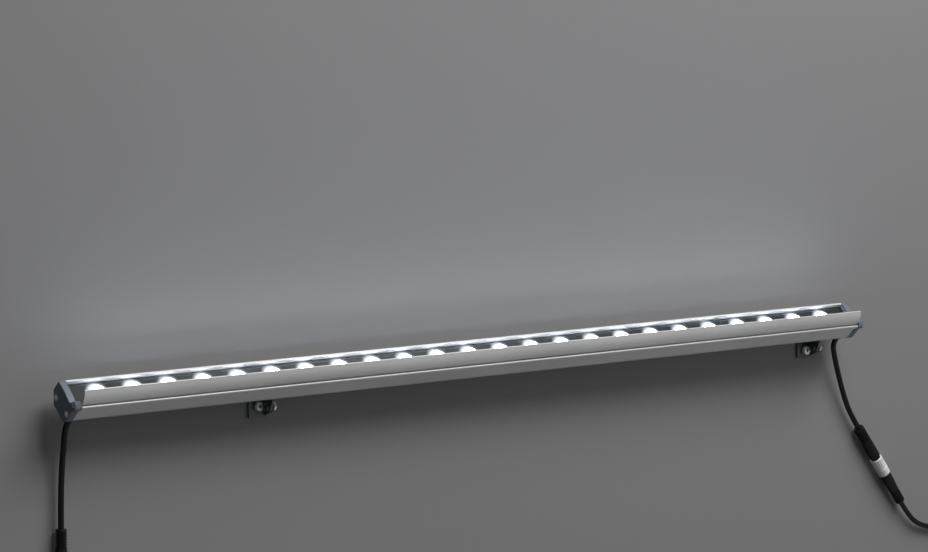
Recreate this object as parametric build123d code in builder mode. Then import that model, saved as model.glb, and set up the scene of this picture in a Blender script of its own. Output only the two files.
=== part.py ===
from build123d import *
import os
from math import ceil, cos, pi, radians, sin, sqrt

# One-metre wall washer light on two tilting feet, in millimetres.
# X runs along the bar, Y into the wall, Z up. The origin lies on the wall plane,
# midway between the two wall screws.

# ---------------------------------------------------------------- driving sizes
bar_length = 1000.0        # over the end caps
bar_overhang = 40.0        # end of the bar beyond the right wall screw
mount_angle = 45.0         # tilt of the section at rest
rim_y, rim_z = -22.0, 47.0  # rear top corner of the section at rest

section_width = 32.2       # across the opening
section_depth = 21.0
rim_rise = 0.8             # rear wall above the opening plane
rear_flat_start = 11.0     # where the rear wall turns into the slanted back
rear_wall = 2.0
front_wall = 2.5
floor_wall = 2.0
shelf_top = 11.0           # depth of the board shelf
shelf_thickness = 1.8
front_radius = 5.0
nose_reach = 2.2           # front lip beyond the front wall
nose_height = 3.6          # front lip above the opening plane

slot_u = 14.5              # T-slot position across the bottom face
slot_mouth = 5.5
slot_inner = 8.8
slot_depth = 6.0

led_pitch = 40.0
led_row_shift = -2.0       # LED row from the middle of the bar
board_end_room = 9.0       # kept free at each end of the boards, where the cores come up
lens_face_depth = 1.8
lens_radius = 9.0
lens_crown = 0.9
lens_flange = 1.2
lens_tip_depth = 7.8
lens_tip_radius = 3.2
cup_wall = 0.5
chip_side = 3.45
chip_height = 0.9
board_width = 18.0
board_thickness = 1.6
potting_depth = 3.2
potting_end_gap = 0.4
link_length, link_width, link_height = 12.0, 3.6, 2.4
link_offset = 6.2          # from the LED row towards the front
regulator_length, regulator_width, regulator_height = 4.9, 3.9, 1.6
regulator_offset = 5.6
terminal_length, terminal_width, terminal_height = 7.0, 4.6, 3.2
core_step = 2.2            # between the contacts of a terminal
terminal_inset = 1.8       # from the edge of the board

cap_thickness = 7.0
cap_overlap = 0.3          # cap outline beyond the section
cap_rise = 0.9             # crown of the cap above the opening plane
cap_chamfer = 0.5
gasket_thickness = 0.8
cap_screw_radius = 1.5     # M3
cap_screw_head_radius = 2.8
cap_screw_head_height = 2.0
cap_screw_length = 16.0
cap_port_places = [(7.6, 13.6), (28.4, 11.7)]
port_wall = 1.2

visor_axis = (29.8, -3.0)  # hinge line of the visor across the section
visor_bead_radius = 1.7
visor_thickness = 1.5
visor_straight = 1.0       # upright stretch above the hinge line
visor_curl_radius = 18.0
visor_curl_angle = 47.0
visor_screw_radius = 1.25  # M2.5
visor_screw_head_radius = 2.2
visor_screw_head_height = 2.0
knuckle_radius = 3.2

screw_spacing = 720.0      # between the two wall screws
screw_offset_z = 1.7       # left screw sits high in its slot, right screw low
wall_screw_radius = 2.5    # M5
wall_screw_head_radius = 4.25
wall_thread_radius = 2.1   # core of the screw in its wall plug
wall_screw_head_height = 3.5
wall_screw_hex = 3.0
wall_screw_in_wall = 25.0
washer_radius = 5.0
washer_thickness = 0.8
foot_left_reach = 10.5     # foot plate on each side of the wall screw
foot_right_reach = 10.0
foot_height = 18.2
foot_thickness = 2.0
foot_slot_length = 9.0
foot_slot_width = 5.4
foot_corner = 1.5

pivot_y, pivot_z = -10.5, 1.5
pivot_bolt_radius = 2.0    # M4
pivot_head_radius = 3.6
pivot_head_height = 2.2
pivot_nut_flats = 7.0
pivot_nut_height = 3.2
pivot_bolt_tip = 1.1       # bolt end beyond its nut
ear_radius = 5.0
friction_washer = 0.8
lug_thickness = 2.0
lug_flange_left = 18.0     # clamp flange from the wall screw towards -X
lug_flange_width = 14.0
lug_flange_thickness = 2.0
slot_screw_radius = 2.0    # M4
slot_screw_head_radius = 3.5
slot_screw_head_height = 2.5
slot_nut_side = 8.0
slot_nut_height = 3.4
slot_screw_shift = -8.0    # clamp screw from the wall screw along the bar

gland_inset = 12.0         # gland from the outer face of the end cap
gland_u = 24.8
gland_radius = 4.2
gland_nose = 3.0
gland_thread_radius = 3.2
gland_nut_radius = 4.0     # across the corners
lead_diameter = 5.6
core_radius = 0.65
supply_diameter = 5.2

plug_length = 41.8         # moulded body of the light's own plug
plug_thin_radius = 5.7
plug_thick_radius = 6.0
collar_radius = 5.2
collar_length = 9.7
collar_bore_radius = 4.3
socket_body_length = 40.5
socket_thin_radius = 5.2
neck_radius = 4.5
neck_length = 8.7
flange_length = 3.0
insert_radius = 4.1
insert_length = 9.0
pin_count = 4
pin_radius = 0.5
pin_circle = 2.2
nut_radius = 6.7
nut_length = 22.5
nut_flutes = 18

coil_radius = 36.0         # outermost half turn
coil_pitch = 6.4           # inwards, for each whole turn
coil_half_turns = 6
tie_width = 4.0
tie_thickness = 0.8

# ------------------------------------------------------------------- clearances
face_gap = 0.15            # between flat faces that slide on each other
running_gap = 0.08         # radial, shaft in hole
seat_gap = 0.05            # between fixed pieces that seat in each other
hinge_gap = 0.3            # visor bead in its cradle

# --------------------------------------------------------------- derived places
right_end = screw_spacing / 2 + bar_overhang
left_end = right_end - bar_length
body_left = left_end + cap_thickness + gasket_thickness
body_right = right_end - cap_thickness - gasket_thickness
body_length = body_right - body_left
led_count = int((body_length - 2 * board_end_room) // led_pitch)
led_row_x = (left_end + right_end) / 2 + led_row_shift
ends = {"left": (left_end, 1), "right": (right_end, -1)}
foot_x = {"left": -screw_spacing / 2, "right": screw_spacing / 2}
foot_z = {"left": screw_offset_z, "right": -screw_offset_z}
gland_x = {"left": left_end + gland_inset, "right": right_end - gland_inset}
shelf_bottom = shelf_top + shelf_thickness
floor_top = section_depth - floor_wall
board_top = shelf_top - board_thickness
front_inside = section_width - front_wall
led_u = (rear_wall + front_inside) / 2
slot_ceiling = section_depth - slot_depth
slant = section_depth - rear_flat_start

angle = radians(mount_angle)
across = Vector(0, -cos(angle), -sin(angle))   # over the opening, rear to front
inward = Vector(0, sin(angle), -cos(angle))    # from the opening to the back
along = Vector(1, 0, 0)


def place(x, u, v):
    """World point from a distance along the bar and a point of the section."""
    return Vector(x, rim_y, rim_z) + across * u + inward * v


def section_plane(x):
    """Plane square to the bar; its axes run across the opening and inwards."""
    return Plane(origin=place(x, 0, 0), x_dir=across, z_dir=along)


def light_plane(x, u, v):
    """Plane facing out of the opening, with its X along the bar."""
    return Plane(origin=place(x, u, v), x_dir=along, z_dir=inward * -1)


def wall_plane(x, y=0.0, z=0.0):
    """Plane facing away from the wall, with its X along the bar and Y up."""
    return Plane(origin=(x, y, z), x_dir=(1, 0, 0), z_dir=(0, -1, 0))


def side_plane(x, y=0.0, z=0.0):
    """Plane square to the bar, facing -X; its axes run away from the wall and up."""
    return Plane(origin=(x, y, z), x_dir=(0, -1, 0), z_dir=(-1, 0, 0))


def finish(builder, label):
    builder.part.label = label
    export_step(builder.part, f"parts/{label}.step")


os.makedirs("parts", exist_ok=True)

# ---------------------------------------------------------------------- housing
board_half = led_count * led_pitch / 2
board_leds = {"left": led_count // 2, "right": led_count - led_count // 2}
seam_x = led_row_x - board_half + board_leds["left"] * led_pitch
board_start = {"left": led_row_x - board_half, "right": seam_x}


def between_leds(shares):
    """Places along both boards, from the middle of the row, each midway between two LEDs."""
    return [board_start[side] - led_row_x + led_pitch * round(board_leds[side] * share)
            for side in board_start for share in shares]


board_screw_places = between_leds((1 / 6, 1 / 2, 5 / 6))
regulator_places = between_leds((1 / 4, 3 / 4))
terminal_x = {"left": led_row_x - board_half + 5.5, "right": led_row_x + board_half - 5.5}
terminal_u = led_u + board_width / 2 - terminal_width / 2 - terminal_inset
jaw_u = visor_axis[0] - visor_bead_radius - hinge_gap
cradle_radius = visor_bead_radius + hinge_gap
nose_inside = section_width + 0.2
jaw_height = 1.8

with BuildPart() as housing:
    with BuildSketch(section_plane(body_left)):
        with BuildLine():
            Polyline(
                (0, -rim_rise), (0, rear_flat_start), (slant, section_depth),
                (section_width - front_radius, section_depth),
            )
            JernArc((section_width - front_radius, section_depth), (1, 0), front_radius, -90)
            Polyline(
                (section_width, section_depth - front_radius), (section_width, nose_reach),
                (section_width + nose_reach, 0), (section_width + nose_reach, 1 - nose_height),
            )
            ThreePointArc(
                (section_width + nose_reach, 1 - nose_height),
                (section_width + nose_reach / 2 + 0.1, -nose_height),
                (nose_inside, 1 - nose_height),
            )
            Polyline(
                (nose_inside, 1 - nose_height), (nose_inside, -1),
                (visor_axis[0], -1), (jaw_u, -jaw_height), (jaw_u - 0.8, -jaw_height),
                (jaw_u - 0.8, 0.4), (front_inside, 2.2),
                (front_inside, shelf_top), (rear_wall, shelf_top), (rear_wall, -rim_rise),
                (0, -rim_rise),
            )
        make_face()
        # wire chamber, T-slot and bead cradle
        with Locations(((slot_u + slot_inner / 2 + 1.3 + front_inside + 0.5) / 2,
                        (shelf_bottom + floor_top) / 2)):
            Rectangle(front_inside + 0.5 - slot_u - slot_inner / 2 - 1.3,
                      floor_top - shelf_bottom, mode=Mode.SUBTRACT)
        with Locations((slot_u, (slot_ceiling + floor_top) / 2)):
            Rectangle(slot_inner, floor_top - slot_ceiling, mode=Mode.SUBTRACT)
        with Locations((slot_u, section_depth - floor_wall / 2)):
            Rectangle(slot_mouth, floor_wall + 1, mode=Mode.SUBTRACT)
        with Locations(visor_axis):
            Circle(cradle_radius, mode=Mode.SUBTRACT)
        with Locations(cap_port_places[1]):
            Circle(cap_screw_radius + port_wall)
        with Locations(*cap_port_places):
            Circle(cap_screw_radius + seat_gap, mode=Mode.SUBTRACT)
    extrude(amount=body_length)
    # blind holes of the board screws
    with BuildSketch(light_plane(led_row_x, led_u, shelf_top + 3.6)):
        with Locations(*[(x, 0) for x in board_screw_places]):
            Circle(cap_screw_radius + seat_gap)
    extrude(amount=4, mode=Mode.SUBTRACT)
    # gland holes in the floor and wire holes in the shelf
    for side in ends:
        with BuildSketch(light_plane(gland_x[side], gland_u, section_depth + 1)):
            Circle(gland_thread_radius + seat_gap)
        extrude(amount=floor_wall + 2, mode=Mode.SUBTRACT)
        with BuildSketch(light_plane(gland_x[side], gland_u, shelf_bottom + 1)):
            Circle(2.6)
        extrude(amount=shelf_thickness + 2, mode=Mode.SUBTRACT)
finish(housing, "housing")

# --------------------------------------------------------- end caps and gaskets
def cap_outline():
    """Section outline with the front nose and a knuckle for the visor."""
    edge = cap_overlap
    knuckle_foot = (visor_axis[0] - knuckle_radius - 2.5, edge)
    nose_u = section_width + nose_reach + edge
    with BuildLine() as outline:
        ThreePointArc(knuckle_foot, (section_width / 4, -cap_rise), (-edge, -cap_rise / 2))
        Polyline(
            (-edge, -cap_rise / 2), (-edge, rear_flat_start + edge * 0.4),
            (slant - edge * 0.4, section_depth + edge),
            (section_width - front_radius, section_depth + edge),
        )
        JernArc((section_width - front_radius, section_depth + edge), (1, 0),
                front_radius + edge, -90)
        Polyline(
            (section_width + edge, section_depth - front_radius),
            (section_width + edge, nose_reach), (nose_u, 0), (nose_u, 1 - nose_height),
            (nose_u - 1.2, -nose_height - 0.4),
            (visor_axis[0] + knuckle_radius * 0.66, visor_axis[1] - knuckle_radius * 0.75),
            visor_axis, (visor_axis[0] - knuckle_radius, visor_axis[1]), knuckle_foot,
        )
    make_face(outline.edges())


def build_cap(side):
    outer, way = ends[side]
    with BuildPart() as cap:
        with BuildSketch(section_plane(outer)):
            cap_outline()
            with Locations(visor_axis):
                Circle(knuckle_radius)
        extrude(amount=way * cap_thickness)
        outer_face = cap.faces().sort_by(Axis.X)[0 if way > 0 else -1]
        chamfer(outer_face.edges(), cap_chamfer)
        with BuildSketch(section_plane(outer)):
            with Locations(*cap_port_places):
                Circle(cap_screw_head_radius + 0.25)
        extrude(amount=way * cap_screw_head_height, mode=Mode.SUBTRACT)
        with BuildSketch(section_plane(outer)):
            with Locations(visor_axis):
                Circle(visor_screw_head_radius + running_gap)
        extrude(amount=way * (visor_screw_head_height + face_gap), mode=Mode.SUBTRACT)
        with BuildSketch(section_plane(outer)):
            with Locations(*cap_port_places):
                Circle(cap_screw_radius + 0.2)
            with Locations(visor_axis):
                Circle(visor_screw_radius + running_gap)
        extrude(amount=way * cap_thickness, mode=Mode.SUBTRACT)
    finish(cap, f"end_cap_{side}")

    with BuildPart() as gasket:
        with BuildSketch(section_plane(outer + way * cap_thickness)):
            with BuildLine():
                Polyline(
                    (0.3, 1.0), (0.3, rear_flat_start), (slant, section_depth - 0.4),
                    (section_width - front_radius, section_depth - 0.4),
                )
                JernArc((section_width - front_radius, section_depth - 0.4), (1, 0),
                        front_radius - 0.4, -90)
                Polyline(
                    (section_width - 0.4, section_depth - front_radius),
                    (section_width - 0.4, 1.0), (0.3, 1.0),
                )
            make_face()
            with Locations(*cap_port_places):
                Circle(cap_screw_radius + 0.2, mode=Mode.SUBTRACT)
        extrude(amount=way * gasket_thickness)
    finish(gasket, f"end_gasket_{side}")


for side in ends:
    build_cap(side)

with BuildPart() as cap_screws:
    for outer, way in ends.values():
        for u, v in cap_port_places:
            head_plane = section_plane(outer + way * cap_screw_head_height)
            with BuildSketch(head_plane):
                with Locations((u, v)):
                    Circle(cap_screw_head_radius)
            extrude(amount=-way * (cap_screw_head_height - 0.2))
            with BuildSketch(head_plane):
                with Locations((u, v)):
                    Circle(cap_screw_radius)
            extrude(amount=way * cap_screw_length)
finish(cap_screws, "cap_screws")

# ------------------------------------------------------------------------ visor
curl_u = visor_axis[0] + visor_bead_radius - visor_curl_radius
curl_v = visor_axis[1] - visor_straight
visor_inner_curl = visor_curl_radius - visor_thickness
visor_left = left_end + cap_thickness + gasket_thickness + face_gap
visor_right = right_end - cap_thickness - gasket_thickness - face_gap
curl_end = radians(visor_curl_angle)
tip_mid_radius = visor_curl_radius - visor_thickness / 2

with BuildPart() as visor:
    with BuildSketch(section_plane(visor_left)):
        with BuildLine():
            Line((visor_axis[0] + visor_bead_radius, visor_axis[1]),
                 (visor_axis[0] + visor_bead_radius, curl_v))
            CenterArc((curl_u, curl_v), visor_curl_radius, 0, -visor_curl_angle)
            Line((curl_u + visor_curl_radius * cos(curl_end),
                  curl_v - visor_curl_radius * sin(curl_end)),
                 (curl_u + visor_inner_curl * cos(curl_end),
                  curl_v - visor_inner_curl * sin(curl_end)))
            CenterArc((curl_u, curl_v), visor_inner_curl, -visor_curl_angle, visor_curl_angle)
            Polyline((curl_u + visor_inner_curl, curl_v),
                     (curl_u + visor_inner_curl, visor_axis[1]),
                     (visor_axis[0] + visor_bead_radius, visor_axis[1]))
        make_face()
        with Locations(visor_axis):
            Circle(visor_bead_radius)
        with Locations((curl_u + tip_mid_radius * cos(curl_end),
                        curl_v - tip_mid_radius * sin(curl_end))):
            Circle(visor_thickness / 2 + 0.15)
    extrude(amount=visor_right - visor_left)
    with BuildSketch(section_plane(visor_left)):
        with Locations(visor_axis):
            Circle(visor_screw_radius + seat_gap)
    extrude(amount=visor_right - visor_left, mode=Mode.SUBTRACT)
finish(visor, "visor")

with BuildPart() as visor_screws:
    for outer, way in ends.values():
        with BuildSketch(section_plane(outer)):
            with Locations(visor_axis):
                Circle(visor_screw_head_radius)
        extrude(amount=way * visor_screw_head_height)
        with BuildSketch(section_plane(outer)):
            with Locations(visor_axis):
                Circle(visor_screw_radius)
        extrude(amount=way * (cap_thickness + 10))
        with BuildSketch(section_plane(outer)):
            with Locations(visor_axis):
                RegularPolygon(1.2, 6)
        extrude(amount=way * 1.2, mode=Mode.SUBTRACT)
finish(visor_screws, "visor_screws")

with BuildPart() as visor_washers:
    for outer, way in ends.values():
        with BuildSketch(section_plane(outer + way * (cap_thickness + face_gap))):
            with Locations(visor_axis):
                Circle(knuckle_radius - 0.6)
                Circle(visor_screw_radius + seat_gap, mode=Mode.SUBTRACT)
        extrude(amount=way * (gasket_thickness - face_gap))
finish(visor_washers, "visor_washers")

# ---------------------------------------------------- boards, LEDs and optics
for side in board_start:
    board_reach = board_leds[side] * led_pitch
    with BuildPart() as board:
        with BuildSketch(light_plane(board_start[side] + board_reach / 2, led_u, shelf_top)):
            Rectangle(board_reach - 1, board_width)
        extrude(amount=board_thickness)
        with BuildSketch(light_plane(led_row_x, led_u, shelf_top)):
            with Locations(*[(x, 0) for x in board_screw_places]):
                Circle(cap_screw_radius + 0.2)
        extrude(amount=board_thickness, mode=Mode.SUBTRACT)
    finish(board, f"led_board_{side}")

with BuildPart() as board_screws:
    with BuildSketch(light_plane(led_row_x, led_u, board_top)):
        with Locations(*[(x, 0) for x in board_screw_places]):
            Circle(cap_screw_head_radius)
    extrude(amount=cap_screw_head_height)
    with BuildSketch(light_plane(led_row_x, led_u, board_top)):
        with Locations(*[(x, 0) for x in board_screw_places]):
            Circle(cap_screw_radius)
    extrude(amount=-5)
finish(board_screws, "board_screws")

with BuildPart() as led_chips:
    with BuildSketch(light_plane(led_row_x, led_u, board_top)):
        with GridLocations(led_pitch, led_pitch, led_count, 1):
            Rectangle(chip_side, chip_side)
    extrude(amount=chip_height)
finish(led_chips, "led_chips")


def profile_plane(base, direction, radial):
    """Plane for a revolved profile: X is the radius and Y runs along the axis."""
    return Plane(origin=base, x_dir=radial, z_dir=radial.cross(direction))


outward = inward * -1
cup_depth = board_top - lens_face_depth
lens_seat = cup_depth - lens_flange
lens_tip = board_top - lens_tip_depth
cup_radius = lens_radius + seat_gap + cup_wall


def lens_station(i):
    return place(led_row_x + (i - (led_count - 1) / 2) * led_pitch, led_u, board_top)


with BuildPart() as lenses:
    for i in range(led_count):
        with BuildSketch(profile_plane(lens_station(i), outward, along)):
            with BuildLine():
                Polyline((0, cup_depth + lens_crown), (0, lens_tip), (lens_tip_radius, lens_tip),
                         (lens_radius - 0.6, lens_seat), (lens_radius, lens_seat),
                         (lens_radius, cup_depth))
                TangentArc((0, cup_depth + lens_crown), (lens_radius, cup_depth), tangent=(1, 0))
            make_face()
        revolve(axis=Axis(lens_station(i), outward))
finish(lenses, "lenses")

with BuildPart() as lens_cups:
    for i in range(led_count):
        with BuildSketch(profile_plane(lens_station(i), outward, along)):
            with BuildLine():
                Polyline(
                    (lens_tip_radius + 0.3, 0), (lens_tip_radius + 2.2, 0),
                    (cup_radius, 4.2), (cup_radius, cup_depth - 0.3),
                    (lens_radius + seat_gap, cup_depth - 0.3),
                    (lens_radius + seat_gap, lens_seat - seat_gap),
                    (lens_radius - 0.3, lens_seat - seat_gap),
                    (lens_tip_radius + 0.3, lens_tip), (lens_tip_radius + 0.3, 0),
                )
            make_face()
        revolve(axis=Axis(lens_station(i), outward))
finish(lens_cups, "lens_cups")

with BuildPart() as potting:
    with BuildSketch(section_plane(body_left + potting_end_gap)):
        potting_height = board_top - 0.2 - potting_depth
        with Locations(((rear_wall + front_inside) / 2, potting_depth + potting_height / 2)):
            Rectangle(front_inside - rear_wall - 2 * seat_gap, potting_height)
        with Locations(cap_port_places[1]):
            Circle(cap_screw_radius + port_wall + seat_gap, mode=Mode.SUBTRACT)
    extrude(amount=body_length - 2 * potting_end_gap)
    with BuildSketch(light_plane(led_row_x, led_u, board_top + 1)):
        with GridLocations(led_pitch, led_pitch, led_count, 1):
            Circle(cup_radius + seat_gap)
        with Locations(*[(x, 0) for x in board_screw_places]):
            Circle(cap_screw_head_radius + 0.3)
    extrude(amount=board_top + 2, mode=Mode.SUBTRACT)
    # pockets round the terminals and the cores that come up to them
    for side in ends:
        outer, way = ends[side]
        pocket_end = terminal_x[side] + way * (terminal_length / 2 + 0.1)
        pocket_low = terminal_u - terminal_width / 2 - 0.1
        pocket_high = gland_u + core_radius + 0.3
        with BuildSketch(light_plane((outer + pocket_end) / 2, (pocket_low + pocket_high) / 2,
                                     board_top + 1)):
            Rectangle(abs(outer - pocket_end), pocket_high - pocket_low)
        extrude(amount=terminal_height + 2.2, mode=Mode.SUBTRACT)
    # pockets over the link and the regulator chips
    with BuildSketch(light_plane(seam_x, led_u + link_offset, board_top + 1)):
        Rectangle(link_length + 0.2, link_width + 0.2)
    extrude(amount=link_height + 1.2, mode=Mode.SUBTRACT)
    with BuildSketch(light_plane(led_row_x, led_u + regulator_offset, board_top + 1)):
        with Locations(*[(x, 0) for x in regulator_places]):
            Rectangle(regulator_length + 0.2, regulator_width + 0.2)
    extrude(amount=regulator_height + 1.2, mode=Mode.SUBTRACT)
    # plugs that close the screw wells level with the compound
    with BuildSketch(light_plane(led_row_x, led_u, potting_depth + 1.2)):
        with Locations(*[(x, 0) for x in board_screw_places]):
            Circle(cap_screw_head_radius + 0.6)
    extrude(amount=1.2)
finish(potting, "potting")

with BuildPart() as terminals:
    for side in ends:
        with BuildSketch(light_plane(terminal_x[side], terminal_u, board_top)):
            Rectangle(terminal_length, terminal_width)
        extrude(amount=terminal_height)
        with BuildSketch(light_plane(terminal_x[side], terminal_u,
                                     board_top + 0.6 - terminal_height)):
            with GridLocations(core_step, core_step, 3, 1):
                Circle(0.6)
        extrude(amount=0.6, mode=Mode.SUBTRACT)
finish(terminals, "terminals")

with BuildPart() as board_link:
    with BuildSketch(light_plane(seam_x, led_u + link_offset, board_top)):
        Rectangle(link_length, link_width)
    extrude(amount=link_height)
    fillet(board_link.faces().sort_by(Axis(place(0, 0, 0), outward))[-1].edges(), 0.5)
finish(board_link, "board_link")

with BuildPart() as driver_chips:
    with BuildSketch(light_plane(led_row_x, led_u + regulator_offset, board_top)):
        with Locations(*[(x, 0) for x in regulator_places]):
            Rectangle(regulator_length, regulator_width)
    extrude(amount=regulator_height)
finish(driver_chips, "driver_chips")

# ---------------------------------------------------------- glands and leads
outlet_depth = section_depth + gland_nose


def build_gland(side):
    base = place(gland_x[side], gland_u, 0)
    with BuildPart() as gland:
        with BuildSketch(profile_plane(base, inward, along)):
            with BuildLine():
                Polyline(
                    (lead_diameter / 2 + seat_gap, floor_top - 3.4),
                    (gland_thread_radius, floor_top - 3.4),
                    (gland_thread_radius, section_depth + seat_gap),
                    (gland_radius, section_depth + seat_gap),
                    (gland_radius, section_depth + 1.6),
                    (gland_radius - 0.9, outlet_depth),
                    (lead_diameter / 2 + seat_gap, outlet_depth),
                    (lead_diameter / 2 + seat_gap, floor_top - 3.4),
                )
            make_face()
        revolve(axis=Axis(base, inward))
    finish(gland, f"gland_{side}")


for side in ends:
    build_gland(side)

with BuildPart() as gland_nuts:
    for side in ends:
        with BuildSketch(light_plane(gland_x[side], gland_u, floor_top - seat_gap)):
            RegularPolygon(gland_nut_radius, 6)
            Circle(gland_thread_radius + seat_gap, mode=Mode.SUBTRACT)
        extrude(amount=2.2)
finish(gland_nuts, "gland_nuts")


def arc_radii(points):
    """Radius at each corner: 0.45 of the shorter run over the tangent of half the turn."""
    radii = []
    for before, corner, after in zip(points, points[1:], points[2:]):
        into = Vector(*corner) - Vector(*before)
        out_of = Vector(*after) - Vector(*corner)
        half_turn = radians(into.get_angle(out_of)) / 2
        radii.append(0.45 * min(into.length, out_of.length) * cos(half_turn) / sin(half_turn))
    return radii


def build_tube(points, diameter, label):
    """Round tube along straight runs joined by tangent arcs."""
    radii = arc_radii(points)
    start = Vector(*points[0])
    heading = Vector(*points[1]) - start
    with BuildPart() as tube:
        with BuildLine() as route:
            FilletPolyline(*points, radius=radii)
        with BuildSketch(Plane(origin=start, z_dir=heading)):
            Circle(diameter / 2)
        sweep(path=route.wires()[0])
    length = route.wires()[0].length
    section = pi * diameter ** 2 / 4
    print(f"{label}: length {length:.1f}, radii {[round(r, 1) for r in radii]}, "
          f"volume over section x length {tube.part.volume / (section * length):.4f}")
    finish(tube, label)


outlet = {side: place(gland_x[side], gland_u, outlet_depth) for side in ends}
lead_left_route = [
    tuple(outlet["left"]), (-588.0, -15.1, 5.0), (-588.0, -12.0, -14.0),
    (-588.0, -8.6, -36.0), (-588.0, -6.6, -64.0), (-588.0, -6.6, -90.3),
]
lead_right_route = [
    tuple(outlet["right"]), (388.0, -15.1, 5.0), (394.6, -11.5, -10.0), (403.2, -9.5, -32.0),
    (413.4, -8.0, -56.0), (423.9, -7.0, -74.7), (435.8, -7.0, -90.3),
]
supply_route = [
    (500.8, -7.0, -175.6), (509.9, -7.0, -187.5), (524.5, -5.4, -200.5),
    (543.5, -4.2, -208.0), (565.0, -3.6, -211.5), (588.0, -3.6, -211.5),
]
build_tube(lead_left_route, lead_diameter, "lead_left")
build_tube(lead_right_route, lead_diameter, "lead_right")
build_tube(supply_route, supply_diameter, "supply_lead")

# cores from each gland up to the terminals
for side, (outer, way) in ends.items():
    with BuildPart() as wires:
        for k in (-1, 0, 1):
            foot_point = place(gland_x[side] + k * 1.5, gland_u, floor_top - 3.0)
            through = place(gland_x[side] + k * 1.5, gland_u, shelf_top - 2.6)
            landing = place(terminal_x[side] + k * core_step, gland_u - 0.2, board_top - 1.4)
            tip = place(terminal_x[side] + k * core_step, terminal_u + terminal_width / 2 + 0.1,
                        board_top - 1.4)
            with BuildLine() as core_route:
                FilletPolyline(foot_point, through, landing, tip, radius=0.7)
            with BuildSketch(Plane(origin=foot_point, z_dir=through - foot_point)):
                Circle(core_radius)
            sweep(path=core_route.wires()[0])
    finish(wires, f"wires_{side}")

# ------------------------------------------------------------------------ plugs
plug_base = Vector(*lead_right_route[-1])
socket_base = Vector(*supply_route[0])
plug_axis = (socket_base - plug_base).normalized()
down = Vector(0, 0, -1)
toward_viewer = Vector(0, -1, 0)
socket_flange = socket_body_length + neck_length
socket_face = socket_flange + flange_length
insert_tip = socket_face + insert_length
mouth = plug_length + collar_length
groove_count = 6
groove_pitch = 2.6
groove_width = 1.2
groove_depth = 0.9


def revolve_profile(base, direction, points):
    with BuildSketch(profile_plane(base, direction, toward_viewer)) as profile:
        with BuildLine():
            Polyline(*points, points[0])
        make_face()
    revolve(profile.sketch, axis=Axis(base, direction))


def cut_grooves(base, direction, thin_radius):
    """Strain-relief grooves round the cable end of a moulded plug body."""
    with BuildSketch(profile_plane(base, direction, toward_viewer)) as grooves:
        for k in range(groove_count):
            with Locations((thin_radius, 3.0 + k * groove_pitch)):
                Rectangle(2 * groove_depth, groove_width)
    revolve(grooves.sketch, axis=Axis(base, direction), mode=Mode.SUBTRACT)


with BuildPart() as plug_right:
    revolve_profile(plug_base, plug_axis, [
        (0, 0), (plug_thin_radius - 0.6, 0), (plug_thin_radius, 1.2), (plug_thin_radius, 20),
        (plug_thick_radius, 24), (plug_thick_radius, plug_length - 0.5),
        (plug_thick_radius - 0.5, plug_length), (collar_radius, plug_length),
        (collar_radius, mouth - 0.4), (collar_radius - 0.4, mouth), (collar_bore_radius, mouth),
        (collar_bore_radius, plug_length + 0.5), (0, plug_length + 0.5),
    ])
    cut_grooves(plug_base, plug_axis, plug_thin_radius)
finish(plug_right, "plug_right")

with BuildPart() as pins_right:
    with BuildSketch(Plane(origin=plug_base + plug_axis * (plug_length + 0.5),
                           x_dir=toward_viewer, z_dir=plug_axis)):
        with PolarLocations(pin_circle, pin_count):
            Circle(pin_radius)
    extrude(amount=8.4)
finish(pins_right, "pins_right")


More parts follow.
